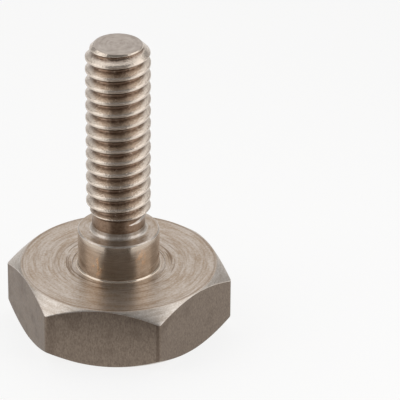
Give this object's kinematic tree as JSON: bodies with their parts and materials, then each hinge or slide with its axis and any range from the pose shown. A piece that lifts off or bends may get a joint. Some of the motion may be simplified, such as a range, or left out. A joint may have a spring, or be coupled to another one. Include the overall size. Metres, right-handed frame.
{
  "type": "shoulder bolt",
  "caption": "Hex-head shoulder bolt turned in one piece, with a short plain shoulder that a lever or roller turns on, an undercut neck and a coarse right-hand thread.",
  "frame": {"origin": "centre of the head's outer face, which the bolt stands on", "axes": "+Z along the bolt's axis from the head to the end of the thread, +X through a corner of the hexagon, +Y through a flat"},
  "size_m": [0.0218, 0.019, 0.0296],
  "materials": {
    "stainless_steel": "as turned and tumbled, satin"
  },
  "bodies": {
    "root": {"shoulder_bolt": "stainless_steel"}
  },
  "joints": []
}
